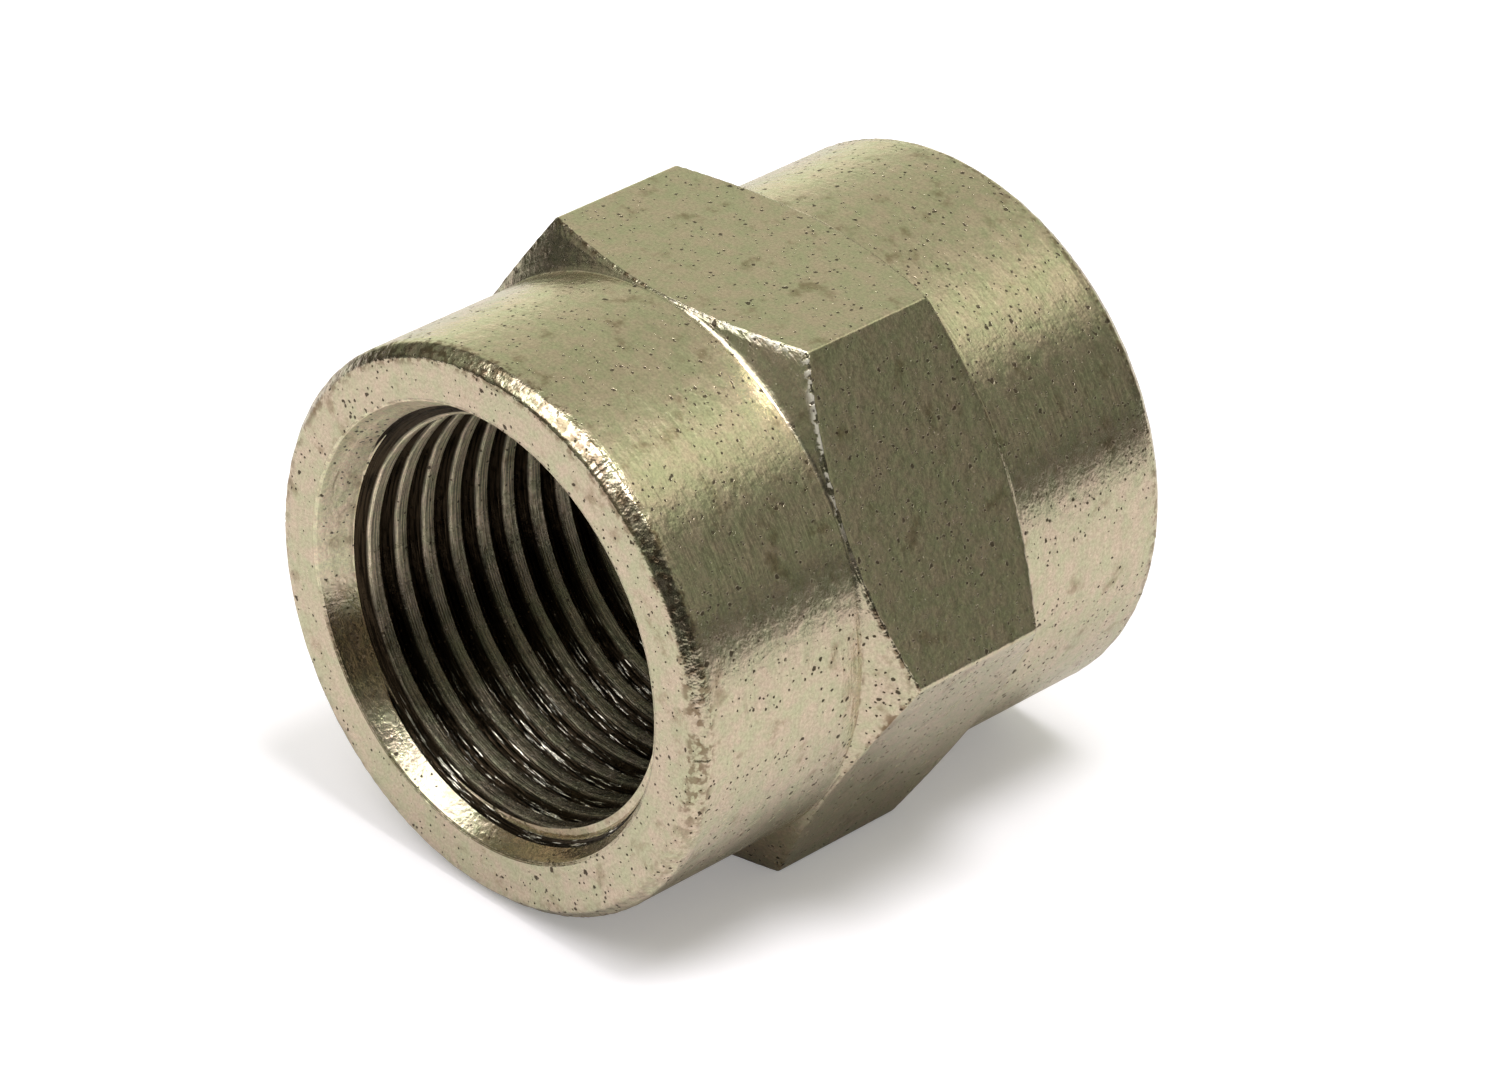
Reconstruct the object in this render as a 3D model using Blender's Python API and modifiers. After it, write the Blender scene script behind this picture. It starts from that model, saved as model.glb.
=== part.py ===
"""Female-female pipe coupling: a turned nickel-plated brass sleeve with a hexagon at its middle.

The bore runs along Y and is threaded right through, so each end takes a G 3/8 male pipe thread.
The coupling lies on one hexagon flat: +Z is up and the floor is at half of ACROSS_FLATS below the
bore axis. The origin is on the bore axis, midway between the two end faces.

Each solid is made standing on Z, with the front (-Y) end on top, and is laid down at the end.
"""

import math

import bmesh
import bpy
from mathutils import Matrix

MM = 0.001

# Sleeve and hexagon
LENGTH = 24.0 * MM
BARREL_DIAMETER = 21.84 * MM
ACROSS_FLATS = 22.0 * MM
HEX_LENGTH_AT_CORNERS = 6.0 * MM
HEX_OFFSET_TO_REAR = 0.2 * MM
HEX_CHAMFER_ANGLE = math.radians(31.0)  # from the plane square to the axis
HEX_CORNER_ROUND = 0.10 * MM
END_BEVEL_RADIAL = 0.40 * MM
END_BEVEL_AXIAL = 0.48 * MM
NECK_FILLET = 0.30 * MM

# G 3/8 thread: 19 turns per inch, flanks at 55 degrees to each other
PITCH = 25.4 * MM / 19
MAJOR_DIAMETER = 16.662 * MM
MINOR_DIAMETER = 15.395 * MM
PITCH_DIAMETER = 15.806 * MM
HALF_FLANK_ANGLE = math.radians(27.5)
THREAD_PHASE = -0.25 * PITCH  # moves the thread along the bore, towards the front if above 0

# Lead-in recess at each end: a countersink with a nearly flat floor, which cuts off the first crest
RECESS_MOUTH_DIAMETER = 17.60 * MM
RECESS_FLOOR_DIAMETER = 16.16 * MM
RECESS_DEPTH = 1.42 * MM
RECESS_CONE_DEPTH = 0.03 * MM

BARREL_SIDES = 72
THREAD_SIDES = 36
FILLET_SIDES = 3
CUTTER_OVERRUN = 1.0 * MM
WELD_DISTANCE = 0.00001

NICKEL_COLOUR = (0.52, 0.50, 0.44, 1.0)


def clear_scene():
    for obj in list(bpy.data.objects):
        bpy.data.objects.remove(obj, do_unlink=True)


def new_collection(name):
    collection = bpy.data.collections.new(name)
    bpy.context.scene.collection.children.link(collection)
    return collection


def nickel_plate():
    material = bpy.data.materials.new("nickel_plated_brass")
    material.use_nodes = True
    shader = material.node_tree.nodes["Principled BSDF"]
    shader.inputs["Base Color"].default_value = NICKEL_COLOUR
    shader.inputs["Metallic"].default_value = 1.0
    shader.inputs["Roughness"].default_value = 0.38
    return material


def object_from_bmesh(name, shape, collection):
    mesh = bpy.data.meshes.new(name)
    shape.to_mesh(mesh)
    shape.free()
    obj = bpy.data.objects.new(name, mesh)
    collection.objects.link(obj)
    return obj


def profile_object(name, points, collection):
    """An open chain of edges in the XZ plane, given as (radius, height) from top to bottom."""
    shape = bmesh.new()
    vertices = [shape.verts.new((radius, 0.0, height)) for radius, height in points]
    for upper, lower in zip(vertices, vertices[1:]):
        shape.edges.new((upper, lower))
    return object_from_bmesh(name, shape, collection)


def add_screw(obj, sides, offset=0.0, turns=1):
    screw = obj.modifiers.new("turn", "SCREW")
    screw.axis = "Z"
    screw.angle = math.tau
    screw.screw_offset = offset
    screw.iterations = turns
    screw.steps = sides
    screw.render_steps = sides
    screw.use_merge_vertices = True
    screw.merge_threshold = WELD_DISTANCE
    screw.use_smooth_shade = False


def bake(obj):
    """Replaces an object's mesh with its evaluated one and drops the modifiers."""
    graph = bpy.context.evaluated_depsgraph_get()
    mesh = bpy.data.meshes.new_from_object(obj.evaluated_get(graph))
    obj.modifiers.clear()
    obj.data = mesh


def fillet_points(radius, cone_height, slope):
    """The concave round where a barrel of this radius runs into the hexagon's end cone.

    The cone's height above the hexagon's middle is cone_height - slope * r at radius r.
    """
    cone_angle = math.atan(slope)
    centre_radius = radius + NECK_FILLET
    reach = NECK_FILLET / math.cos(cone_angle)
    centre_height = cone_height - slope * centre_radius + reach
    start, end = math.pi, 1.5 * math.pi - cone_angle
    points = []
    for index in range(FILLET_SIDES + 1):
        angle = start + (end - start) * index / FILLET_SIDES
        points.append(
            (
                centre_radius + NECK_FILLET * math.cos(angle),
                centre_height + NECK_FILLET * math.sin(angle),
            )
        )
    return points


def half_profile(half_length, disc_radius):
    """One end of the turned blank, from its axis to the disc that the hexagon is cut from.

    Heights are from the hexagon's middle.
    """
    radius = BARREL_DIAMETER / 2
    corner_radius = ACROSS_FLATS / 2 / math.cos(math.pi / 6)
    slope = math.tan(HEX_CHAMFER_ANGLE)
    cone_height = HEX_LENGTH_AT_CORNERS / 2 + slope * corner_radius
    return [
        (0.0, half_length),
        (radius - END_BEVEL_RADIAL, half_length),
        (radius, half_length - END_BEVEL_AXIAL),
        *fillet_points(radius, cone_height, slope),
        (disc_radius, cone_height - slope * disc_radius),
    ]


def turned_blank(collection):
    """The sleeve with a wide disc at its middle, standing on Z with the origin at mid-length."""
    disc_radius = ACROSS_FLATS / 2 / math.cos(math.pi / 6) + CUTTER_OVERRUN
    hex_height = -HEX_OFFSET_TO_REAR
    upper = half_profile(LENGTH / 2 - hex_height, disc_radius)
    lower = half_profile(LENGTH / 2 + hex_height, disc_radius)
    points = [(radius, hex_height + height) for radius, height in upper]
    points += [(radius, hex_height - height) for radius, height in reversed(lower)]
    blank = profile_object("coupling_body", points, collection)
    add_screw(blank, BARREL_SIDES)
    bake(blank)
    return blank


def hexagon_bar(collection):
    """Hexagon bar with rounded long edges, one flat facing -Y, longer than the sleeve."""
    bpy.ops.mesh.primitive_cylinder_add(
        vertices=6,
        radius=ACROSS_FLATS / 2 / math.cos(math.pi / 6),
        depth=LENGTH + 2 * CUTTER_OVERRUN,
        rotation=(0.0, 0.0, math.pi / 6),
    )
    bar = bpy.context.object
    bar.name = "hexagon_bar"
    bpy.ops.object.transform_apply(location=False, rotation=True, scale=True)
    shape = bmesh.new()
    shape.from_mesh(bar.data)
    long_edges = [
        edge
        for edge in shape.edges
        if abs(edge.verts[0].co.z - edge.verts[1].co.z) > LENGTH / 2
    ]
    bmesh.ops.bevel(
        shape,
        geom=long_edges,
        offset=HEX_CORNER_ROUND,
        segments=2,
        profile=0.5,
        affect="EDGES",
    )
    shape.to_mesh(bar.data)
    shape.free()
    for owner in list(bar.users_collection):
        owner.objects.unlink(bar)
    collection.objects.link(bar)
    return bar


def thread_profile():
    """One pitch of the tap from top to bottom: crest, flank, root, flank, as (radius, height)."""
    minor, major = MINOR_DIAMETER / 2, MAJOR_DIAMETER / 2
    flank = (major - minor) * math.tan(HALF_FLANK_ANGLE)
    inner_half = (PITCH_DIAMETER / 2 - minor) * math.tan(HALF_FLANK_ANGLE)
    land = PITCH / 2 - 2 * inner_half
    root = PITCH - land - 2 * flank
    heights = [0.0, land, land + flank, land + flank + root, PITCH]
    radii = [minor, minor, major, major, minor]
    return [(radius, -height) for radius, height in zip(radii, heights)]


def cap_helix_end(shape, boundary, height):
    """Closes one end of the tap with a fan of faces from a point on its axis."""
    made = bmesh.ops.extrude_edge_only(shape, edges=boundary)["geom"]
    moved = [item for item in made if isinstance(item, bmesh.types.BMVert)]
    bmesh.ops.pointmerge(shape, verts=moved, merge_co=(0.0, 0.0, height))


def tap(collection):
    """A closed threaded rod with a right-hand helix that runs out past both end faces."""
    turns = math.ceil(LENGTH / PITCH)
    swept = (turns + 1) * PITCH
    rod = profile_object("tap", thread_profile(), collection)
    add_screw(rod, THREAD_SIDES, offset=PITCH, turns=turns)
    bake(rod)
    shape = bmesh.new()
    shape.from_mesh(rod.data)
    bmesh.ops.remove_doubles(shape, verts=shape.verts, dist=WELD_DISTANCE)
    middle = swept / 2 - PITCH
    open_edges = [edge for edge in shape.edges if edge.is_boundary]
    upper = [edge for edge in open_edges if edge.verts[0].co.z > middle]
    lower = [edge for edge in open_edges if edge.verts[0].co.z <= middle]
    cap_helix_end(shape, upper, swept - 1.5 * PITCH)
    cap_helix_end(shape, lower, -PITCH / 2)
    bmesh.ops.recalc_face_normals(shape, faces=shape.faces)
    bmesh.ops.translate(shape, verts=shape.verts, vec=(0.0, 0.0, THREAD_PHASE - middle))
    shape.to_mesh(rod.data)
    shape.free()
    return rod


def recess_cutter(name, collection, direction):
    """The lead-in recess at one end: direction is +1 for the front end and -1 for the rear."""
    end = LENGTH / 2
    mouth, floor = RECESS_MOUTH_DIAMETER / 2, RECESS_FLOOR_DIAMETER / 2
    tip = MINOR_DIAMETER / 2 - CUTTER_OVERRUN
    widening = (mouth - floor) / RECESS_DEPTH
    cone_slope = RECESS_CONE_DEPTH / (floor - MINOR_DIAMETER / 2)
    tip_height = end - RECESS_DEPTH - cone_slope * (floor - tip)
    points = [
        (0.0, end + CUTTER_OVERRUN),
        (mouth + widening * CUTTER_OVERRUN, end + CUTTER_OVERRUN),
        (floor, end - RECESS_DEPTH),
        (tip, tip_height),
        (0.0, tip_height),
    ]
    if direction < 0:
        points = [(radius, -height) for radius, height in reversed(points)]
    cutter = profile_object(name, points, collection)
    add_screw(cutter, THREAD_SIDES)
    bake(cutter)
    return cutter


def as_cutter(obj):
    obj.hide_render = True
    obj.display_type = "WIRE"


def add_boolean(obj, tool, operation):
    cut = obj.modifiers.new(tool.name, "BOOLEAN")
    cut.operation = operation
    cut.solver = "EXACT"
    cut.object = tool


def lay_down(obj):
    """Turns the standing Z axis onto -Y, so that the top becomes the front end."""
    obj.data.transform(Matrix.Rotation(math.pi / 2, 4, "X"))


def main():
    clear_scene()
    parts = new_collection("pipe_coupling")
    cutters = new_collection("cutters")
    body = turned_blank(parts)
    tools = [
        (hexagon_bar(cutters), "INTERSECT"),
        (recess_cutter("front_recess", cutters, 1), "DIFFERENCE"),
        (recess_cutter("rear_recess", cutters, -1), "DIFFERENCE"),
        (tap(cutters), "DIFFERENCE"),
    ]
    lay_down(body)
    for tool, operation in tools:
        lay_down(tool)
        as_cutter(tool)
        add_boolean(body, tool, operation)
    body.data.materials.clear()
    body.data.materials.append(nickel_plate())


main()
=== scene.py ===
"""Looks of the pipe coupling: a fine skin for its one body, the nickel finish, floor, light and camera.

Lengths are metres in the frame of the CAD part. The bore runs along Y with the front end at -Y, the
coupling lies on a hexagon flat and +Z is up. Angles round the bore start at +X and turn towards +Z.
"""

import math

import bpy
import numpy as np
from mathutils import Matrix, Vector


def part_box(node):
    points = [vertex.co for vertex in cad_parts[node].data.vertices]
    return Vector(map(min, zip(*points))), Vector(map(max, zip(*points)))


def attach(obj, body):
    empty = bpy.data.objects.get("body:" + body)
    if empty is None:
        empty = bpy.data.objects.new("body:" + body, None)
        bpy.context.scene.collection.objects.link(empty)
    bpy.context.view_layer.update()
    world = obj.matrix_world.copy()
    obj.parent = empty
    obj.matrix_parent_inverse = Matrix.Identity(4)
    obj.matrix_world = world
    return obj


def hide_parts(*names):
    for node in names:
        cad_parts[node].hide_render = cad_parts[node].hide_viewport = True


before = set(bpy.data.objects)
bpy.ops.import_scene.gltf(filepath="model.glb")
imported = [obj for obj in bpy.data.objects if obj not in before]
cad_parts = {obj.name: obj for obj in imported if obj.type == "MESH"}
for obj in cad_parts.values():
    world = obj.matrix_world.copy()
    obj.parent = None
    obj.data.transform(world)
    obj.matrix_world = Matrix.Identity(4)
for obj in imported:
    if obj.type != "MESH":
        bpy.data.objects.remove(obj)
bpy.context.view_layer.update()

MM = 0.001
NODE = "coupling_body"
LOW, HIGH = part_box(NODE)

# Sleeve and hexagon, the same sizes as the CAD part
HALF_LENGTH = HIGH.y
APOTHEM = HIGH.z
FLOOR_HEIGHT = LOW.z
BARREL_RADIUS = 10.92 * MM
HEX_CENTRE = 0.2 * MM
HEX_HALF_LENGTH = 3.0 * MM
CORNER_RADIUS = APOTHEM / math.cos(math.pi / 6)
CONE_SLOPE = math.tan(math.radians(31.0))
NECK_FILLET = 0.24 * MM
CORNER_ROUND = 0.20 * MM
EDGE_SETBACK = 0.07 * MM
BEVEL_RADIAL = 0.40 * MM
BEVEL_AXIAL = 0.48 * MM
BEVEL_SETBACK = 0.13 * MM
BEVEL_MARGIN = 2.5 * BEVEL_SETBACK
EDGE_WAVINESS = 0.4  # of EDGE_SETBACK
BEVEL_WAVINESS = 0.012 * MM
EDGE_MASK_ON_ROUND = 0.8
EDGE_MASK_AT_MOUTH = 0.6

# Lead-in countersink with a flat floor, cut a little off the bore axis, with a tool step in its
# upper left side. Bumps round it are (height, angle in degrees, half the sweep).
MOUTH_RADIUS = 8.77 * MM
MOUTH_SHIFT = 0.13 * MM
MOUTH_SHIFT_ANGLE = 150.0
MOUTH_BUMPS = ((0.04 * MM, 165, 40), (-0.06 * MM, 212, 35))
MOUTH_ROUND = 0.05 * MM
RECESS_SLOPE = 0.56
SLOPE_BUMPS = ((-0.10, 150, 110), (-0.14, 213, 36))
RECESS_DEPTH = 1.17 * MM
DEPTH_BUMPS = ((0.36 * MM, 115, 125),)
STEP_ANGLE = 127.0
STEP_HALF_SWEEP = 47.0
STEP_DEPTH = 0.45 * MM
STEP_DEEPER = 0.008 * MM  # for each degree past STEP_STRAIGHT, towards the top
STEP_STRAIGHT = 165.0
STEP_SLANT = 45.0  # degrees over which it gets deeper
STEP_MARGIN = 0.12 * MM  # from the deepest row of the wall
STEP_LIP = 0.04 * MM
STEP_LIP_WIDTH = 0.12 * MM
STEP_CUT = 0.07 * MM
STEP_CUT_WIDTH = 0.10 * MM
ROWS_ABOVE_STEP = (0.0, 0.04, 0.09, 0.16, 0.28, 0.45, 0.65, 0.82, 0.93, 1.0)
ROWS_BELOW_STEP = (0.03, 0.12, 0.28, 0.55, 1.0)
WALL_MARGIN = 0.03 * MM
THREAD_CLEARANCE = 0.02 * MM  # the thread's rows start this far below the root's radius

# G 3/8 thread with rounded roots
PITCH = 25.4 * MM / 19
MAJOR_RADIUS = 8.331 * MM
MINOR_RADIUS = 7.70 * MM
PITCH_RADIUS = 7.903 * MM
HALF_FLANK = math.radians(27.5)
ROOT_ROUND = 0.1373 * PITCH
CREST_SETBACK = 0.05 * MM
CREST_EDGE = -9.906 * MM + PITCH / 2  # deep edge of one crest, at angle 0
CLEAR_OF_RECESS = 0.3 * MM  # thread mask beyond the recess floor

# Mesh density
OUTER_HALF_SIDE = 30
CROWDING = 1.8
THREAD_COLUMNS = 220
FINE_ROWS = 26
BARREL_ROWS = 8
CONE_ROWS = 10
FLAT_ROWS = 8
FILLET_POINTS = 25
CONE_POINTS = 60
NECK_ROWS = (1, 2)  # rows of the neck that carry its mask
ROUND_SHARES = (0.0, 0.25, 0.5, 0.75, 1.0)
SMOOTH_LIMIT = math.radians(40)


# ---------------------------------------------------------------- mesh


class Skin:
    """Vertices, faces and per-vertex masks of a mesh that is built ring by ring."""

    MASKS = ("edge", "flat", "neck", "recess", "thread")

    def __init__(self):
        self.points = []
        self.masks = {name: [] for name in self.MASKS}
        self.faces = []

    def ring(self, angles, radii, heights, **masks):
        """Adds one vertex per angle and returns their numbers. heights are along Y."""
        first = len(self.points)
        radii = np.broadcast_to(radii, len(angles))
        heights = np.broadcast_to(heights, len(angles))
        for angle, radius, height in zip(angles, radii, heights):
            self.points.append((radius * math.cos(angle), height, radius * math.sin(angle)))
        for name in self.MASKS:
            values = np.broadcast_to(masks.get(name, 0.0), len(angles))
            self.masks[name].extend(float(value) for value in values)
        return list(range(first, first + len(angles)))

    def face(self, *corners):
        """Adds a face, dropping repeated corners."""
        kept = [c for i, c in enumerate(corners) if c != corners[i - 1]]
        if len(kept) > 2:
            self.faces.append(kept)

    def bridge(self, one, two):
        """Quads between two rings of the same length."""
        for i in range(len(one)):
            j = (i + 1) % len(one)
            self.face(one[i], one[j], two[j], two[i])

    def zip(self, one, angles_one, two, angles_two):
        """Triangles between two rings with different columns."""
        i = j = 0
        n, m = len(one), len(two)
        while i < n or j < m:
            next_one = angles_one[i + 1] if i + 1 < n else math.tau + angles_one[0]
            next_two = angles_two[j + 1] if j + 1 < m else math.tau + angles_two[0]
            if j >= m or (i < n and next_one <= next_two):
                self.face(one[i % n], one[(i + 1) % n], two[j % m])
                i += 1
            else:
                self.face(one[i % n], two[(j + 1) % m], two[j % m])
                j += 1

    def mesh(self, name):
        mesh = bpy.data.meshes.new(name)
        mesh.from_pydata(self.points, [], self.faces)
        for mask, values in self.masks.items():
            layer = mesh.attributes.new(mask, "FLOAT", "POINT")
            layer.data.foreach_set("value", np.array(values, np.float32))
        return mesh


def outer_angles():
    """Columns round the outside, closest together at the hexagon's six corners."""
    steps = np.arange(OUTER_HALF_SIDE + 1) / OUTER_HALF_SIDE
    half = math.pi / 6 * steps**CROWDING
    sixth = np.concatenate([half, math.pi / 3 - half[-2:0:-1]])
    return np.concatenate([sixth + k * math.pi / 3 for k in range(6)])


def hump(angles, centre, half_sweep):
    """1 at the centre angle, falling smoothly to 0 at half_sweep on either side. In degrees."""
    away = (np.degrees(angles) - centre + 180) % 360 - 180
    return 0.5 + 0.5 * np.cos(math.pi * np.clip(away / half_sweep, -1, 1))


def humps(angles, bumps):
    """The sum of several humps, each (height, centre, half_sweep)."""
    return sum(height * hump(angles, centre, half_sweep) for height, centre, half_sweep in bumps)


def wander(count, waves, seed):
    """A smooth random closed sequence between about -1 and 1."""
    random = np.random.default_rng(seed)
    turn = np.arange(count) / count * math.tau
    total = np.zeros(count)
    for wave in random.integers(waves // 2, waves, 12):
        total += np.cos(wave * turn + random.uniform(0, math.tau))
    return total / 4


def hexagon_radius(angles):
    """Distance from the axis to the hexagon bar's surface, with its corners rounded."""
    from_corner = np.abs((angles + math.pi / 6) % (math.pi / 3) - math.pi / 6)
    flat = APOTHEM / np.cos(math.pi / 6 - from_corner)
    centre = (APOTHEM - CORNER_ROUND) / math.cos(math.pi / 6)
    across = CORNER_ROUND**2 - (centre * np.sin(from_corner)) ** 2
    arc = centre * np.cos(from_corner) + np.sqrt(np.maximum(across, 0.0))
    tangent = math.atan2(CORNER_ROUND / 2, centre + CORNER_ROUND * math.cos(math.pi / 6))
    return np.where(from_corner < tangent, arc, flat)


def bend(start, corner, end, share):
    """A point on the quadratic curve that rounds a corner."""
    a, b, c = np.array(start), np.array(corner), np.array(end)
    return a * (1 - share) ** 2 + 2 * b * share * (1 - share) + c * share**2


def neck_path(limit):
    """Points (radius, distance from the hexagon's middle) from barrel to a hexagon face.

    The path runs round the neck fillet and out along the end cone as far as radius limit.
    """
    cone_angle = math.atan(CONE_SLOPE)
    top = HEX_HALF_LENGTH + CONE_SLOPE * CORNER_RADIUS
    centre_radius = BARREL_RADIUS + NECK_FILLET
    centre_height = top - CONE_SLOPE * centre_radius + NECK_FILLET / math.cos(cone_angle)
    angles = np.linspace(math.pi, 1.5 * math.pi - cone_angle, FILLET_POINTS)
    radii = centre_radius + NECK_FILLET * np.cos(angles)
    heights = centre_height + NECK_FILLET * np.sin(angles)
    on_cone = np.linspace(radii[-1], CORNER_RADIUS, CONE_POINTS)[1:]
    radii = np.concatenate([radii, on_cone])
    heights = np.concatenate([heights, top - CONE_SLOPE * on_cone])
    end = np.array([limit, np.interp(limit, radii, heights)])
    kept = radii < limit
    return np.vstack([np.column_stack([radii[kept], heights[kept]]), end])


def resample(path, shares):
    """Points at these shares of a polyline's length."""
    lengths = np.concatenate([[0.0], np.cumsum(np.linalg.norm(np.diff(path, axis=0), axis=1))])
    wanted = np.asarray(shares) * lengths[-1]
    return np.column_stack([np.interp(wanted, lengths, path[:, k]) for k in (0, 1)])


def neck_rows(angles):
    """For each row from barrel to hexagon face, its radii and its distances from mid-hexagon.

    The last rows round the edge between cone and flat and end on the flat.
    """
    shares = (np.arange(CONE_ROWS) / CONE_ROWS) ** 2
    setbacks = EDGE_SETBACK * (1 + EDGE_WAVINESS * wander(len(angles), waves=160, seed=5))
    columns = []
    for limit, setback in zip(hexagon_radius(angles), setbacks):
        path = neck_path(limit)
        length = np.linalg.norm(np.diff(path, axis=0), axis=1).sum()
        setback = min(setback, 0.4 * length)
        before, corner = resample(path, [1 - setback / length, 1.0])
        after = corner - np.array([0.0, setback])
        inner = resample(path, shares * (1 - 1.6 * setback / length))
        rounded = [bend(before, corner, after, share) for share in ROUND_SHARES]
        columns.append(np.vstack([inner, rounded]))
    rows = np.array(columns)
    return [(rows[:, i, 0], rows[:, i, 1]) for i in range(rows.shape[1])]


def bevel_rows():
    """(radius, distance from the end face, edge mask) from the end face to the barrel."""
    inner = np.array([BARREL_RADIUS - BEVEL_RADIAL, 0.0])
    outer = np.array([BARREL_RADIUS, BEVEL_AXIAL])
    along = (outer - inner) / np.linalg.norm(outer - inner)
    rows = [(inner[0] - BEVEL_MARGIN, 0.0, 0.0)]
    before, after = inner - np.array([BEVEL_SETBACK, 0.0]), inner + along * BEVEL_SETBACK
    for share in ROUND_SHARES:
        rows.append((*bend(before, inner, after, share), EDGE_MASK_ON_ROUND))
    rows.append((*(0.5 * (inner + outer)), 1.0))
    before, after = outer - along * BEVEL_SETBACK, outer + np.array([0.0, BEVEL_SETBACK])
    for share in ROUND_SHARES:
        rows.append((*bend(before, outer, after, share), EDGE_MASK_ON_ROUND))
    rows.append((BARREL_RADIUS, BEVEL_AXIAL + BEVEL_MARGIN, 0.0))
    return rows


def mouth_radius(angles):
    """Where the countersink would meet the end face if that edge were sharp."""
    shifted = MOUTH_RADIUS + MOUTH_SHIFT * np.cos(angles - math.radians(MOUTH_SHIFT_ANGLE))
    return shifted + humps(angles, MOUTH_BUMPS)


def recess_slope(angles):
    """The countersink is steeper on the left, most of all at the lower left."""
    return RECESS_SLOPE + humps(angles, SLOPE_BUMPS)


def recess_depth(angles):
    """Depth of the recess floor, more on the upper left, where it ends in the thread's groove."""
    return RECESS_DEPTH + humps(angles, DEPTH_BUMPS)


def recess_radius(angles, depth):
    """Radius of the plain countersink at this depth, one for each angle."""
    return mouth_radius(angles) - recess_slope(angles) * depth


def recess_end(angles):
    """Depth down to which the countersink is too wide for the thread to show."""
    widest = MAJOR_RADIUS + THREAD_CLEARANCE
    return (mouth_radius(angles) - widest) / recess_slope(angles)


def step_depth(angles):
    """The tool step runs deeper towards the top."""
    past = np.clip(STEP_STRAIGHT - np.degrees(angles) % 360, 0, STEP_SLANT)
    return np.minimum(STEP_DEPTH + STEP_DEEPER * past, recess_end(angles) - STEP_MARGIN)


def recess_wall(angles, depth):
    """Radius of the countersink's wall with its rounded mouth edge and its tool step."""
    flare = MOUTH_ROUND * np.clip(1 - depth / (1.5 * MOUTH_ROUND), 0, 1) ** 2
    from_step = depth - step_depth(angles)
    lip = -STEP_LIP * np.exp(np.minimum(from_step, 0) / STEP_LIP_WIDTH)
    cut = STEP_CUT * np.exp(-np.maximum(from_step, 0) / STEP_CUT_WIDTH)
    step = np.where(from_step > 0, cut, lip) * hump(angles, STEP_ANGLE, STEP_HALF_SWEEP)
    return recess_radius(angles, depth) + flare + step


def recess_depths(angles):
    """Depths of the wall's rows, gathered round the tool step."""
    step = step_depth(angles)
    rest = recess_end(angles) - WALL_MARGIN - step
    above = [share * step for share in ROWS_ABOVE_STEP]
    return above + [step + share * rest for share in ROWS_BELOW_STEP]


def thread_profile():
    """(offset along Y, radius) over one pitch, from the middle of a root to the next."""
    flank_width = (MAJOR_RADIUS - MINOR_RADIUS) * math.tan(HALF_FLANK)
    root_half = PITCH / 4 - (MAJOR_RADIUS - PITCH_RADIUS) * math.tan(HALF_FLANK)
    land_start = root_half + flank_width
    land_end = PITCH - land_start
    swing = math.pi / 2 - HALF_FLANK
    centre = MAJOR_RADIUS - ROOT_ROUND
    arc = [(ROOT_ROUND * math.sin(a), centre + ROOT_ROUND * math.cos(a)) for a in (0, swing / 2, swing)]
    lean = np.array([-math.sin(HALF_FLANK), math.cos(HALF_FLANK)]) * CREST_SETBACK
    flat = np.array([CREST_SETBACK, 0.0])
    corner = np.array([land_start, MINOR_RADIUS])
    rise = [bend(corner + lean, corner, corner + flat, s) for s in (0, 0.5, 1)]
    middle = [(PITCH / 2, MINOR_RADIUS)]
    half = [*arc, *rise]
    mirrored = [(PITCH - y, r) for y, r in reversed(half)][:-1]
    return np.array([*half, *middle, *mirrored]), land_end


def meet_floor(angle, y, r, new_y, new_r, below):
    """Moves two points of a column to the edges of each recess floor, where there is one."""
    depth = recess_depth(angle)
    floor = HALF_LENGTH - depth
    inside = np.flatnonzero(np.abs(y) < floor)
    for last, beyond in ((inside[0], inside[0] - 1), (inside[-1], inside[-1] + 1)):
        share = (floor - abs(y[last])) / (abs(y[beyond]) - abs(y[last]))
        radius = r[last] + share * (r[beyond] - r[last])
        corner = recess_radius(angle, depth)
        if radius < corner:
            new_y[[last, beyond]] = math.copysign(floor, y[last])
            new_r[last], new_r[beyond] = radius, corner
            below[last] = below[beyond] = 0.0


def meet_recess(angle, y, r):
    """Fits one column of the thread, points (y, r) from front to rear, to the two recesses.

    Where a countersink is wider than the thread, the points go onto it, and the nearest one goes
    to where the two surfaces cross. Returns y, r and how far the thread lies below each.
    """
    end = HALF_LENGTH - recess_end(angle)
    deep = np.abs(y) <= HALF_LENGTH - recess_depth(angle)
    wall = recess_radius(angle, HALF_LENGTH - np.abs(y))
    below = np.where(deep, CLEAR_OF_RECESS, r - wall)
    new_y, new_r = np.clip(y, -end, end), np.where(deep, r, np.maximum(r, wall))
    new_r[np.abs(y) > end] = recess_radius(angle, HALF_LENGTH - end)
    crossing = (below[:-1] * below[1:] < 0) & ~deep[:-1] & ~deep[1:]
    for i in np.flatnonzero(crossing):
        share = below[i] / (below[i] - below[i + 1])
        covered = i if below[i] < 0 else i + 1
        new_y[covered] = y[i] + share * (y[i + 1] - y[i])
        new_r[covered] = r[i] + share * (r[i + 1] - r[i])
    below = np.maximum(below, 0.0)
    meet_floor(angle, y, r, new_y, new_r, below)
    return new_y, new_r, below


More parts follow.
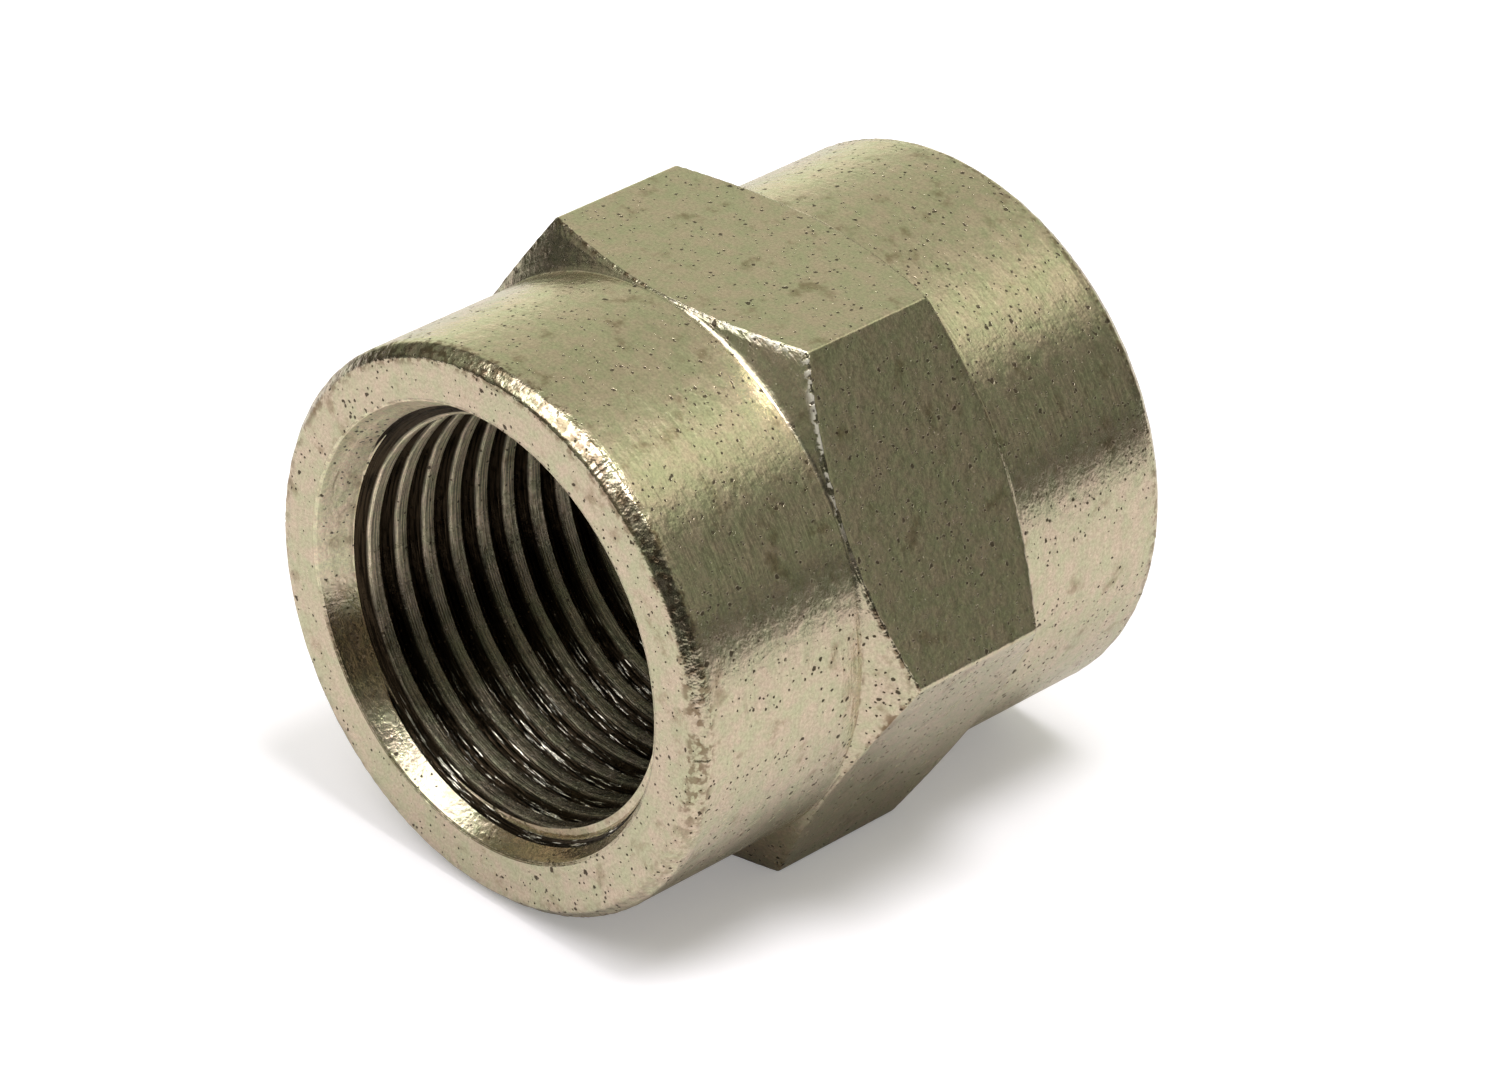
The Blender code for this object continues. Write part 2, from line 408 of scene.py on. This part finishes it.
def thread_rows():
    """The thread's outline over all its turns, as (offset along Y, radius), and rows per turn.

    Every turn has as many points. Away from the recesses most of them coincide, which keeps the
    mesh light.
    """
    profile, land_end = thread_profile()
    fine = np.union1d(profile[:, 0], np.linspace(0, PITCH, FINE_ROWS, endpoint=False))
    coarse = profile[np.searchsorted(profile[:, 0], fine, side="right") - 1]
    radii = np.interp(fine, profile[:, 0], profile[:, 1], period=PITCH)
    fine = np.column_stack([fine, radii])
    first = CREST_EDGE - land_end
    first -= PITCH * math.ceil((first + HALF_LENGTH) / PITCH)
    deepest_floor = HALF_LENGTH - RECESS_DEPTH - DEPTH_BUMPS[0][0]
    rows = []
    for turn in range(int(2 * HALF_LENGTH / PITCH) + 3):
        start = turn * PITCH + first
        near_end = max(PITCH - start, start + PITCH) > deepest_floor
        rows.append((fine if near_end else coarse) + (start, 0))
    return np.vstack(rows), len(fine)


def thread_paths():
    """Radii, heights and depths below the countersink, for each thread column from front to rear."""
    rows, per_turn = thread_rows()
    angles = np.arange(THREAD_COLUMNS) / THREAD_COLUMNS * math.tau
    offsets, outline = rows.T
    columns = [meet_recess(angle, offsets - PITCH * angle / math.tau, outline) for angle in angles]
    heights, radii, below = (np.array(part) for part in zip(*columns))
    return angles, radii, heights, below, per_turn


def add_thread(skin):
    """Adds the threaded wall and returns its end rings, which lie on the countersinks."""
    angles, radii, heights, below, per_turn = thread_paths()
    columns, count = radii.shape
    numbers = np.zeros((columns, count), int)
    for j in range(columns):
        previous = None
        for i in range(count):
            place = (radii[j, i], heights[j, i])
            if place == previous:
                numbers[j, i] = numbers[j, i - 1]
            else:
                cut = below[j, i] / MM
                numbers[j, i] = skin.ring([angles[j]], *place, thread=cut, recess=1.0)[0]
            previous = place
    for j in range(columns):
        shift = per_turn if j == columns - 1 else 0
        k = (j + 1) % columns
        for i in range(count - 1):
            one, two = numbers[k, max(i - shift, 0)], numbers[k, max(i + 1 - shift, 0)]
            skin.face(numbers[j, i], one, two, numbers[j, i + 1])
    return angles, list(numbers[:, 0]), list(numbers[:, -1])


def join(skin, inner, outer, side):
    """Quads between two rings of one end, which face outwards on both ends."""
    if side < 0:
        skin.bridge(inner, outer)
    else:
        skin.bridge(outer, inner)


def add_end(skin, angles, side, barrel_ring, thread_angles, thread_ring):
    """One end, from the barrel over bevel, end face and recess to the thread.

    side is -1 for the front end and +1 for the rear.
    """
    face = side * HALF_LENGTH
    rings = [barrel_ring]
    waviness = BEVEL_WAVINESS * wander(len(angles), waves=120, seed=11 + side)
    for radius, depth, edge in reversed(bevel_rows()):
        rings.append(skin.ring(angles, radius + waviness * (edge > 0), face - side * depth, edge=edge))
    rings.append(skin.ring(angles, mouth_radius(angles) + 2 * MOUTH_ROUND, face))
    for depth in recess_depths(angles):
        edge = EDGE_MASK_AT_MOUTH * (depth < MOUTH_ROUND)
        radii, heights = recess_wall(angles, depth), face - side * depth
        rings.append(skin.ring(angles, radii, heights, edge=edge, recess=1.0))
    for one, two in zip(rings, rings[1:]):
        join(skin, two, one, side)
    if side < 0:
        skin.zip(rings[-1], angles, thread_ring, thread_angles)
    else:
        skin.zip(thread_ring, thread_angles, rings[-1], angles)


def add_side(skin, angles, rows, side):
    """Barrel, neck and end cone of one side. Returns its rings, from the barrel inwards."""
    start = side * HALF_LENGTH - side * (BEVEL_AXIAL + BEVEL_MARGIN)
    neck = HEX_CENTRE + side * rows[0][1][0]
    rings = [
        skin.ring(angles, BARREL_RADIUS, start + (neck - start) * k / BARREL_ROWS)
        for k in range(1, BARREL_ROWS)
    ]
    last = len(rows) - 1
    for i, (radii, heights) in enumerate(rows):
        masks = {"edge": CONE_ROWS <= i < last, "flat": i >= last - 1, "neck": i in NECK_ROWS}
        rings.append(skin.ring(angles, radii, HEX_CENTRE + side * heights, **masks))
    return rings


def add_flats(skin, angles, radii, heights):
    """Rings across the hexagon's six flats, from front to rear."""
    rings = []
    for k in range(FLAT_ROWS + 1):
        share = (k + 0.25) / (FLAT_ROWS + 0.5)
        rings.append(skin.ring(angles, radii, HEX_CENTRE + heights * (2 * share - 1), flat=1.0))
    return rings


def coupling_mesh():
    """The whole skin as one closed mesh."""
    skin = Skin()
    angles = outer_angles()
    rows = neck_rows(angles)
    front_side, rear_side = (add_side(skin, angles, rows, side) for side in (-1, 1))
    rings = front_side + add_flats(skin, angles, *rows[-1]) + rear_side[::-1]
    for one, two in zip(rings, rings[1:]):
        skin.bridge(one, two)
    thread_angles, front, rear = add_thread(skin)
    add_end(skin, angles, -1, rings[0], thread_angles, front)
    add_end(skin, angles, 1, rings[-1], thread_angles, rear)
    return skin.mesh("coupling")


def make_coupling(material):
    """Puts the finished skin in the scene, in place of the CAD body."""
    mesh = coupling_mesh()
    mesh.shade_smooth()
    mesh.set_sharp_from_angle(angle=SMOOTH_LIMIT)
    piece = bpy.data.objects.new("coupling", mesh)
    bpy.context.scene.collection.objects.link(piece)
    mesh.materials.append(material)
    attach(piece, "root")
    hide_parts(NODE)


# ---------------------------------------------------------------- shader nodes


class Graph:
    """Short calls that add shader nodes. Any value may be a plain one or another node's output."""

    def __init__(self, tree):
        self.tree = tree

    def add(self, kind, values, **settings):
        """Adds a node and returns it. values maps input names or numbers to what goes in."""
        node = self.tree.nodes.new(kind)
        for name, value in settings.items():
            setattr(node, name, value)
        for name, value in values.items():
            self.put(node.inputs[name], value)
        return node

    def put(self, socket, value):
        if isinstance(value, bpy.types.NodeSocket):
            self.tree.links.new(value, socket)
        else:
            socket.default_value = value

    def math(self, operation, *values):
        return self.add("ShaderNodeMath", dict(enumerate(values)), operation=operation).outputs[0]

    def mul(self, *values):
        result = values[0]
        for value in values[1:]:
            result = self.math("MULTIPLY", result, value)
        return result

    def most(self, *values):
        result = values[0]
        for value in values[1:]:
            result = self.math("MAXIMUM", result, value)
        return result

    def line(self, value, slope, start):
        """start + slope * value."""
        return self.math("MULTIPLY_ADD", value, slope, start)

    def rest(self, value):
        """1 - value."""
        return self.math("SUBTRACT", 1.0, value)

    def step(self, value, low, high, to_low=0.0, to_high=1.0):
        """Goes smoothly from to_low to to_high while value goes from low to high, up or down."""
        values = {"Value": value, "From Min": low, "From Max": high, "To Min": to_low, "To Max": to_high}
        return self.add("ShaderNodeMapRange", values, interpolation_type="SMOOTHSTEP").outputs[0]

    def vector(self, x, y, z):
        return self.add("ShaderNodeCombineXYZ", {0: x, 1: y, 2: z}).outputs[0]

    def split(self, vector):
        return list(self.add("ShaderNodeSeparateXYZ", {0: vector}).outputs)

    def scale(self, vector, factor):
        node = self.add("ShaderNodeVectorMath", {0: vector, "Scale": factor}, operation="SCALE")
        return node.outputs[0]

    def noise(self, vector, scale, detail=2.0, roughness=0.5, w=None):
        values = {"Vector": vector, "Scale": scale, "Detail": detail, "Roughness": roughness}
        if w is None:
            return self.add("ShaderNodeTexNoise", values).outputs[0]
        return self.add("ShaderNodeTexNoise", {**values, "W": w}, noise_dimensions="4D").outputs[0]

    def cells(self, vector, scale):
        """Distance to the nearest of many scattered points, and a random value for each point."""
        node = self.add("ShaderNodeTexVoronoi", {"Vector": vector, "Scale": scale})
        return node.outputs["Distance"], self.split(node.outputs["Color"])[0]

    def mix(self, factor, a, b, blend="MIX"):
        node = self.tree.nodes.new("ShaderNodeMix")
        node.data_type = "RGBA"
        node.blend_type = blend
        for socket, value in ((0, factor), (6, a), (7, b)):
            self.put(node.inputs[socket], value)
        return node.outputs[2]

    def ramp(self, value, stops):
        """A straight-line curve through (position, grey) stops."""
        node = self.add("ShaderNodeValToRGB", {0: value})
        elements = node.color_ramp.elements
        elements[0].position, elements[-1].position = stops[0][0], stops[-1][0]
        for place, _ in stops[1:-1]:
            elements.new(place)
        for element, (_, grey) in zip(elements, stops):
            element.color = (grey, grey, grey, 1)
        return node.outputs[0]

    def bump(self, height, distance, normal=None):
        values = {"Height": height, "Distance": distance, "Strength": 1.0}
        if normal is not None:
            values["Normal"] = normal
        return self.add("ShaderNodeBump", values).outputs[0]

    def mask(self, name):
        return self.add("ShaderNodeAttribute", {}, attribute_name=name).outputs["Fac"]


def new_material(name):
    material = bpy.data.materials.new(name)
    material.use_nodes = True
    tree = material.node_tree
    return material, Graph(tree), tree.nodes["Principled BSDF"]


# ---------------------------------------------------------------- nickel

NICKEL_GREEN = (0.515, 0.510, 0.355, 1)
NICKEL_PINK = (0.610, 0.510, 0.405, 1)
# brown of real stains, also used for the painted shade patches on the recess wall
STAIN_AND_SHADE = (0.22, 0.155, 0.085, 1)
# brown of edge wear, also of the neck's dirt and painted crease shade
WEAR_AND_SHADE_BROWN = (0.16, 0.10, 0.055, 1)
PIT = (0.035, 0.022, 0.012, 1)
# colour of the painted highlight on the hexagon's front edges
PAINTED_EDGE_HIGHLIGHT = (0.90, 0.87, 0.78, 1)
# dark of the oily grooves with painted shade, and the light colour of the painted glints in them
OIL_AND_SHADE_GROOVE = (0.030, 0.022, 0.014, 1)
PAINTED_OIL_GLINT = (0.80, 0.78, 0.70, 1)

# Noises: waves per mm, detail, roughness
PEEL = (2.6, 2.0, 0.55)
GRAIN = (9.0, 3.0, 0.70)
MOTTLE = (1.3, 3.0, 0.65)
NICKS = (3.2, 2.0, 0.60)
BLOTCHES = (0.8, 4.0, 0.65)
SHEEN = (1.8, 2.0, 0.50)
CHATTER = (5.5, 3.0, 0.50)

# Lines drawn out along the turning or the thread: waves per mm across them and along them
TURNED_ACROSS, TURNED_ALONG = 7.0, 0.35
STRIATION_ACROSS, STRIATION_ALONG = 5.0, 0.5
GLINT_ACROSS, GLINT_ALONG = 4.0, 1.1

# Pits: cells per mm, size as a share of a cell, share of the cells that have one
SPARSE_PITS = (1.7, 0.12, 0.60)
FINE_PITS = (4.0, 0.16, 0.60)
THREAD_PITS = (2.6, 0.13, 0.50)

# Relief
PEEL_RELIEF = 0.021 * MM
TURNED_RELIEF = 0.010 * MM
STRIATION_RELIEF = 0.07 * MM
CHATTER_RELIEF = 0.018 * MM
GRAIN_RELIEF = 0.005 * MM
PIT_RELIEF = 0.008 * MM
NICK_RELIEF = 0.05 * MM

THREAD_BORDER = (0.004, 0.02)  # mm below the recess wall, over which the thread's look sets in
HIGHLIGHT_BREAKS = (0.46, 0.54)  # values of the nicks noise over which the painted edge highlight sets in

# Where marks show: a mask goes from 0 at the first place to 1 at the second, in mm
WORN_FROM_BELOW_Z = (-2.0, 6.0)
WORN_RIGHT_X, WORN_RIGHT_Z = (7.5, 9.5), (-5.5, -1.5)
# the upper recess wall, painted lighter
PAINTED_LIGHT_WALL_Z = (-3.2, -1.2)
SATIN_WALL_Z = (-2.5, 0.0)
# where the two patches of painted brown shade lie low on the recess wall
LEFT_SHADE_X, LEFT_SHADE_TOP_Z, LEFT_SHADE_LOW_Z = (-4.0, -5.0), (-2.8, -3.6), (-6.6, -5.0)
RIGHT_SHADE_X, RIGHT_SHADE_Z = (-1.0, 1.0), (-6.0, -7.4)
# where the painted edge highlight shows
PALE_FRONT_Y, PALE_REAR_Y = (-4.9, -4.4), (0.5, -0.5)
PALE_X, PALE_Z = (-1.0, 3.0), (3.0, 8.0)
# the thread's lower half: oily and smoother, its lands painted darker
LOWER_OIL_AND_SHADE_Z = (2.5, -3.5)
# where the painted glints in the grooves show
GLINT_Z = (-3.0, -6.5)


def tone(g, colour, shade):
    """A colour made lighter or darker."""
    return g.mix(1.0, colour, g.vector(shade, shade, shade), "MULTIPLY")


def pits(g, place, scale, size, share):
    """Mask of scattered ragged pits, in about this share of the cells."""
    wobble = g.add("ShaderNodeTexNoise", {"Vector": place, "Scale": scale * 3.0, "Detail": 1.0})
    shift = g.scale(wobble.outputs["Color"], 0.35 / scale)
    ragged = g.add("ShaderNodeVectorMath", {0: place, 1: shift}, operation="ADD").outputs[0]
    distance, chance = g.cells(ragged, scale)
    patchy = g.mul(g.noise(place, 0.45, 1.0), 2.0 * share)
    here = g.math("LESS_THAN", chance, patchy)
    width = g.line(chance, size * 1.2, size * 0.7)
    return g.mul(g.step(g.math("SUBTRACT", distance, width), 0.03, -0.02), here)


class Plate:
    """What the nickel's colour, roughness and relief share: places in mm, masks and noises."""

    def __init__(self, g):
        self.g = g
        self.place = g.scale(g.add("ShaderNodeTexCoord", {}).outputs["Object"], 1 / MM)
        self.x, self.y, self.z = g.split(self.place)
        self.radius = g.math("SQRT", g.math("ADD", g.mul(self.x, self.x), g.mul(self.z, self.z)))
        self.edge, self.neck = g.mask("edge"), g.mask("neck")
        self.round = g.rest(g.mask("flat"))
        self.thread = g.step(g.mask("thread"), *THREAD_BORDER)
        self.outside = g.rest(self.thread)
        self.wall = g.mul(g.mask("recess"), self.outside)
        # painted light: the recess wall's upper part
        self.painted_light_wall = g.mul(self.wall, g.step(self.z, *PAINTED_LIGHT_WALL_Z))
        self.grain = self.noise(GRAIN)
        self.mottle = self.noise(MOTTLE)
        self.nicks = self.noise(NICKS)
        self.pitted = g.most(self.pits(SPARSE_PITS), self.pits(FINE_PITS))
        self.turned = self.turned_lines()
        self.phase = g.math("ADD", g.mul(self.y, math.tau * MM / PITCH), g.math("ARCTAN2", self.z, self.x))
        self.striations = self.thread_lines(STRIATION_ACROSS, STRIATION_ALONG, g.mul(self.x, 0.5))
        # painted highlight on the hexagon's front edges
        self.pale = self.painted_edge_highlights()
        self.land = g.rest(self.groove())
        # 1 low down, oily and smoother with painted shade on the lands; 0 higher up, where the lands are
        # painted lighter
        self.lower_oil_and_shade = g.step(g.line(self.mottle, 3.0, self.z), *LOWER_OIL_AND_SHADE_Z)

    def noise(self, kind):
        return self.g.noise(self.place, *kind)

    def pits(self, kind):
        return pits(self.g, self.place, *kind)

    def turned_lines(self):
        """Fine lines that follow the tool round the axis."""
        g = self.g
        across = g.mul(g.math("ADD", self.y, self.radius), TURNED_ACROSS)
        x, z = g.mul(self.x, TURNED_ALONG), g.mul(self.z, TURNED_ALONG)
        return g.noise(g.vector(x, across, z), 1.0, 2.0)

    def thread_lines(self, across, along, drift):
        """Lines along the thread, whose phase goes once round for each pitch and each turn."""
        g = self.g
        cosine, sine = (g.mul(g.math(kind, self.phase), across) for kind in ("COSINE", "SINE"))
        return g.noise(g.vector(cosine, sine, g.mul(self.z, along)), 1.0, 3.0, 0.6, w=drift)

    def groove(self):
        """0 on the thread's lands and 1 down its flanks and in its roots, with a ragged border."""
        g = self.g
        span = (MAJOR_RADIUS - MINOR_RADIUS) / MM
        depth = g.math("DIVIDE", g.math("SUBTRACT", self.radius, MINOR_RADIUS / MM), span)
        uneven = g.line(g.math("SUBTRACT", self.striations, 0.5), 0.10, depth)
        return g.step(uneven, 0.06, 0.26)

    def painted_edge_highlights(self):
        """Painted highlight: broken white stretches along the hexagon's front edges at the upper right."""
        g = self.g
        along = g.mul(g.step(self.y, *PALE_FRONT_Y), g.step(self.y, *PALE_REAR_Y))
        corner = g.mul(g.step(self.z, *PALE_Z), g.step(self.x, *PALE_X))
        return g.mul(self.edge, along, g.step(self.nicks, *HIGHLIGHT_BREAKS), corner)


def plate_colour(p):
    """Mottled green and pink nickel with grain, turned marks and brown stains."""
    g = p.g
    colour = g.mix(g.step(p.mottle, 0.30, 0.70), NICKEL_GREEN, NICKEL_PINK)
    colour = tone(g, colour, g.line(p.grain, 1.00, 0.51))
    marks = g.mul(g.math("SUBTRACT", p.turned, 0.5), p.round)
    colour = tone(g, colour, g.line(marks, 0.22, 1.0))
    stained = g.step(p.noise(BLOTCHES), 0.55, 0.74, 0.0, 0.6)
    return g.mix(stained, colour, STAIN_AND_SHADE)


def worn_colour(p, colour):
    """Brown wear on the edges, most at the top and right, and brown dirt with painted crease shade in the
    neck.
    """
    g = p.g
    right = g.mul(g.step(p.x, *WORN_RIGHT_X), g.step(p.z, *WORN_RIGHT_Z))
    most_worn = g.most(g.step(p.z, *WORN_FROM_BELOW_Z, 0.35, 1.0), right)
    worn = g.mul(p.edge, g.step(p.nicks, 0.46, 0.58), most_worn)
    colour = g.mix(g.mul(worn, 0.75), colour, WEAR_AND_SHADE_BROWN)
    # brown dirt and painted crease shade in the neck fillet
    return g.mix(g.mul(p.neck, g.step(p.nicks, 0.40, 0.60), 0.7), colour, WEAR_AND_SHADE_BROWN)


def recess_colour(p, colour):
    """The recess wall, with painted light on its upper part and two brown patches of painted shade low
    down.
    """
    g = p.g
    # painted light: the upper recess wall made lighter
    colour = tone(g, colour, g.line(p.painted_light_wall, 0.62, 1.0))
    # painted shade: two brown patches low on the recess wall
    height = g.mul(g.step(p.z, *LEFT_SHADE_LOW_Z), g.step(p.z, *LEFT_SHADE_TOP_Z))
    left_painted_shade = g.mul(g.step(p.x, *LEFT_SHADE_X), height)
    right_painted_shade = g.mul(g.step(p.x, *RIGHT_SHADE_X), g.step(p.z, *RIGHT_SHADE_Z))
    return g.mix(g.mul(p.wall, g.most(left_painted_shade, right_painted_shade), 0.56), colour, STAIN_AND_SHADE)


def thread_colour(p, colour):
    """Worn lands, painted lighter in the thread's upper half and darker in its lower half, over oily
    grooves painted dark with shade, with painted glints low down.
    """
    g = p.g
    lines = g.step(p.striations, 0.38, 0.60, 0.35, 1.15)
    # painted light and shade: lands lighter in the thread's upper half and darker in its lower half
    land = tone(g, colour, g.mul(lines, g.line(p.lower_oil_and_shade, -1.30, 1.70)))
    drift = g.mul(g.math("ADD", p.x, p.y), 0.8)
    glints = g.step(p.thread_lines(GLINT_ACROSS, GLINT_ALONG, drift), 0.57, 0.64)
    glints = g.mul(glints, g.step(g.math("ADD", p.z, g.mul(p.x, -0.35)), *GLINT_Z))
    # grooves: oily dark colour with painted shade, and painted glints
    oil_and_shade = g.mix(glints, OIL_AND_SHADE_GROOVE, PAINTED_OIL_GLINT)
    groove = tone(g, oil_and_shade, g.line(lines, 1.4, -0.2))
    colour = g.mix(p.thread, colour, g.mix(p.land, groove, land))
    return g.mix(g.mul(p.pits(THREAD_PITS), p.thread, 0.8), colour, PIT)


def nickel_colour(p):
    """Base colour of the whole part, from the plain plate to the thread."""
    g = p.g
    colour = recess_colour(p, worn_colour(p, plate_colour(p)))
    # painted highlight on the hexagon's front edges
    colour = g.mix(g.mul(p.pale, 0.8), colour, PAINTED_EDGE_HIGHLIGHT)
    colour = g.mix(g.mul(p.pitted, p.outside, 0.85), colour, PIT)
    return thread_colour(p, colour)


def nickel_roughness(p):
    """Satin, rougher in the pits and on the upper recess wall, and smoother in the thread's oily lower
    half.
    """
    g = p.g
    rough = g.line(p.noise(SHEEN), 0.16, 0.17)
    rough = g.math("ADD", rough, g.mul(p.pitted, 0.3))
    rough = g.line(g.mul(p.wall, g.step(p.z, *SATIN_WALL_Z)), 0.14, rough)
    rough = g.math("ADD", rough, g.mul(p.thread, 0.06))
    return g.line(g.mul(p.thread, p.lower_oil_and_shade), -0.10, rough)


def nickel_metalness(p):
    """Less metallic, so that they show the room's light evenly: lands, most in the upper thread, the
    painted edge highlights and the painted light upper wall.
    """
    g = p.g
    upper_land = g.mul(p.thread, p.land, g.line(p.lower_oil_and_shade, -0.8, 1.0))
    return g.line(g.most(upper_land, p.painted_light_wall, p.pale), -0.55, 1.0)


def nickel_relief(p):
    """One bump on top of another, from the broadest to the finest."""
    g = p.g
    normal = g.bump(p.noise(PEEL), PEEL_RELIEF)
    normal = g.bump(g.mul(p.turned, p.round, p.outside), TURNED_RELIEF, normal)
    normal = g.bump(g.mul(p.striations, p.thread), STRIATION_RELIEF, normal)
    normal = g.bump(g.mul(p.noise(CHATTER), p.wall), CHATTER_RELIEF, normal)
    normal = g.bump(p.grain, GRAIN_RELIEF, normal)
    normal = g.bump(g.mul(p.pitted, -1.0), PIT_RELIEF, normal)
    return g.bump(g.mul(p.nicks, p.edge), NICK_RELIEF, normal)


def nickel():
    """Nickel plate: mottled, grainy and pitted, turned marks, painted light and shade on the recess wall,
    painted edge highlights, and an oily thread with painted shade and glints.
    """
    material, g, shader = new_material("nickel_plate")
    p = Plate(g)
    g.put(shader.inputs["Base Color"], nickel_colour(p))
    g.put(shader.inputs["Roughness"], nickel_roughness(p))
    g.put(shader.inputs["Metallic"], nickel_metalness(p))
    g.put(shader.inputs["Normal"], nickel_relief(p))
    return material


# ---------------------------------------------------------------- floor and light

FLOOR_RADIUS = 0.15
FLOOR_COLOUR = (0.86, 0.845, 0.93, 1)
FLOOR_IN_METAL = (0.72, 0.69, 0.70, 1)
FLOOR_ROUGHNESS = 0.8
FLOOR_FILL = 0.03
FLOOR_GLOW = 0.22

# Light of the room at three heights, as (compass angle, light). The compass angle is in degrees
# from the back (+Y) towards the right (+X).
NEAR_HORIZON = (
    (-180, 0.15), (-124, 0.02), (-104, 0.03), (-82, 0.12), (-66, 1.05), (-38, 1.10), (0, 0.45), (32, 0.06),
    (46, 0.11), (62, 0.08), (100, 0.03), (148, 0.02), (168, 0.12), (180, 0.15),
)
MID_HEIGHT = (
    (-180, 0.26), (-112, 0.28), (-88, 0.13), (-60, 0.75), (-40, 0.60), (0, 0.58), (20, 0.36),
    (36, 0.14), (46, 0.13), (54, 0.42), (80, 0.10), (108, 0.03), (148, 0.03), (168, 0.22), (180, 0.28),
)
HIGH_UP = (
    (-180, 1.00), (-125, 0.80), (-108, 0.20), (-90, 0.14), (-60, 0.52), (-15, 0.56), (5, 0.64),
    (20, 1.05), (32, 1.15), (42, 0.85), (58, 0.50), (95, 0.18), (140, 0.10), (165, 0.55), (180, 1.00),
)
LOW_TO_MIDDLE = (8, 12)  # elevations in degrees between which one height passes into the next
MIDDLE_TO_HIGH = (37, 42)
ROOM_TINT = (1.0, 1.0, 0.76, 1)
BACKDROP = (1.0, 1.0, 1.0, 1)

# Softboxes: light, compass angle, elevation, angles from the centre where they start and end to fade
SOFTBOX_TINT = (1.0, 0.985, 0.95)
SOFTBOXES = ((4.0, -160, 60, 12, 26), (21.0, 80, 76, 6, 13))


def plain_floor():
    """White card that the camera sees overexposed, as in the photo, and the metal doesn't."""
    material, g, shader = new_material("pale_table")
    seen = g.add("ShaderNodeLightPath", {}).outputs["Is Camera Ray"]
    g.put(shader.inputs["Base Color"], g.mix(seen, FLOOR_IN_METAL, FLOOR_COLOUR))
    shader.inputs["Roughness"].default_value = FLOOR_ROUGHNESS
    shader.inputs["Specular IOR Level"].default_value = 0.0
    shader.inputs["Emission Color"].default_value = (1.0, 1.0, 1.0, 1)
    g.put(shader.inputs["Emission Strength"], g.line(seen, FLOOR_GLOW, FLOOR_FILL))
    return material


def make_floor():
    bpy.ops.mesh.primitive_circle_add(
        vertices=128, radius=FLOOR_RADIUS, fill_type="NGON", location=(0, 0, FLOOR_HEIGHT)
    )
    floor = bpy.context.object
    floor.name = "floor"
    floor.data.materials.append(plain_floor())


def compass(azimuth, elevation):
    """Unit vector towards a compass angle and an elevation, both in degrees."""
    azimuth, elevation = math.radians(azimuth), math.radians(elevation)
    level = math.cos(elevation)
    return level * math.sin(azimuth), level * math.cos(azimuth), math.sin(elevation)


def by_compass(g, share, table):
    """The light of one table. share goes from 0 to 1 over the table's range of angles."""
    return g.ramp(share, [((angle + 180) / 360, light) for angle, light in table])


def between_heights(g, z, elevations):
    """0 below these elevations and 1 above them."""
    return g.step(z, *(math.sin(math.radians(elevation)) for elevation in elevations))


def add_softbox(g, room, direction, strength, azimuth, elevation, inner, outer):
    """The room with one round soft light put over it."""
    values = {0: direction, 1: compass(azimuth, elevation)}
    towards = g.add("ShaderNodeVectorMath", values, operation="DOT_PRODUCT").outputs["Value"]
    box = g.step(towards, math.cos(math.radians(outer)), math.cos(math.radians(inner)))
    return g.mix(box, room, (*(strength * part for part in SOFTBOX_TINT), 1))


def make_world():
    """A room that differs by height and compass angle, with two softboxes.

    Only reflections and shadows show it: straight to the camera it is a plain pale backdrop.
    """
    world = bpy.data.worlds.new("studio")
    bpy.context.scene.world = world
    world.use_nodes = True
    g = Graph(world.node_tree)
    direction = g.add("ShaderNodeTexCoord", {}).outputs["Generated"]
    x, y, z = g.split(direction)
    share = g.line(g.math("ARCTAN2", x, y), 1 / math.tau, 0.5)
    low, middle, high = (by_compass(g, share, table) for table in (NEAR_HORIZON, MID_HEIGHT, HIGH_UP))
    room = g.mix(between_heights(g, z, LOW_TO_MIDDLE), low, middle)
    room = g.mix(between_heights(g, z, MIDDLE_TO_HIGH), room, high)
    room = g.mix(1.0, room, ROOM_TINT, "MULTIPLY")
    for softbox in SOFTBOXES:
        room = add_softbox(g, room, direction, *softbox)
    seen = g.add("ShaderNodeLightPath", {}).outputs["Is Camera Ray"]
    background = world.node_tree.nodes["Background"]
    g.put(background.inputs["Color"], g.mix(seen, room, BACKDROP))


# ---------------------------------------------------------------- camera

VIEW_AZIMUTH = math.radians(43.47)
VIEW_ELEVATION = math.radians(31.82)
VIEW_ROLL = math.radians(2.97)
VIEW_DISTANCE = 0.24495
VIEW_ASIDE = 0.84 * MM
VIEW_ABOVE = -0.96 * MM
SENSOR_WIDTH = 36.0
LENS = 161.0


def make_camera():
    """A long lens from the front right and above, rolled a little."""
    level = math.cos(VIEW_ELEVATION)
    x, y = math.sin(VIEW_AZIMUTH) * level, -math.cos(VIEW_AZIMUTH) * level
    back = Vector((x, y, math.sin(VIEW_ELEVATION)))
    sideways = Vector((0, 0, 1)).cross(back).normalized()
    upright = back.cross(sideways)
    right = math.cos(VIEW_ROLL) * sideways + math.sin(VIEW_ROLL) * upright
    up = back.cross(right)
    camera = bpy.data.cameras.new("camera")
    camera.lens = LENS
    camera.sensor_width = SENSOR_WIDTH
    holder = bpy.data.objects.new("camera", camera)
    bpy.context.scene.collection.objects.link(holder)
    target = Vector((0, HEX_CENTRE, 0))
    place = target + back * VIEW_DISTANCE + right * VIEW_ASIDE + up * VIEW_ABOVE
    turn = Matrix((right, up, back)).transposed()
    holder.matrix_world = Matrix.Translation(place) @ turn.to_4x4()
    bpy.context.scene.camera = holder


def main():
    bpy.context.scene.view_settings.view_transform = "Standard"
    make_coupling(nickel())
    make_floor()
    make_world()
    make_camera()


main()
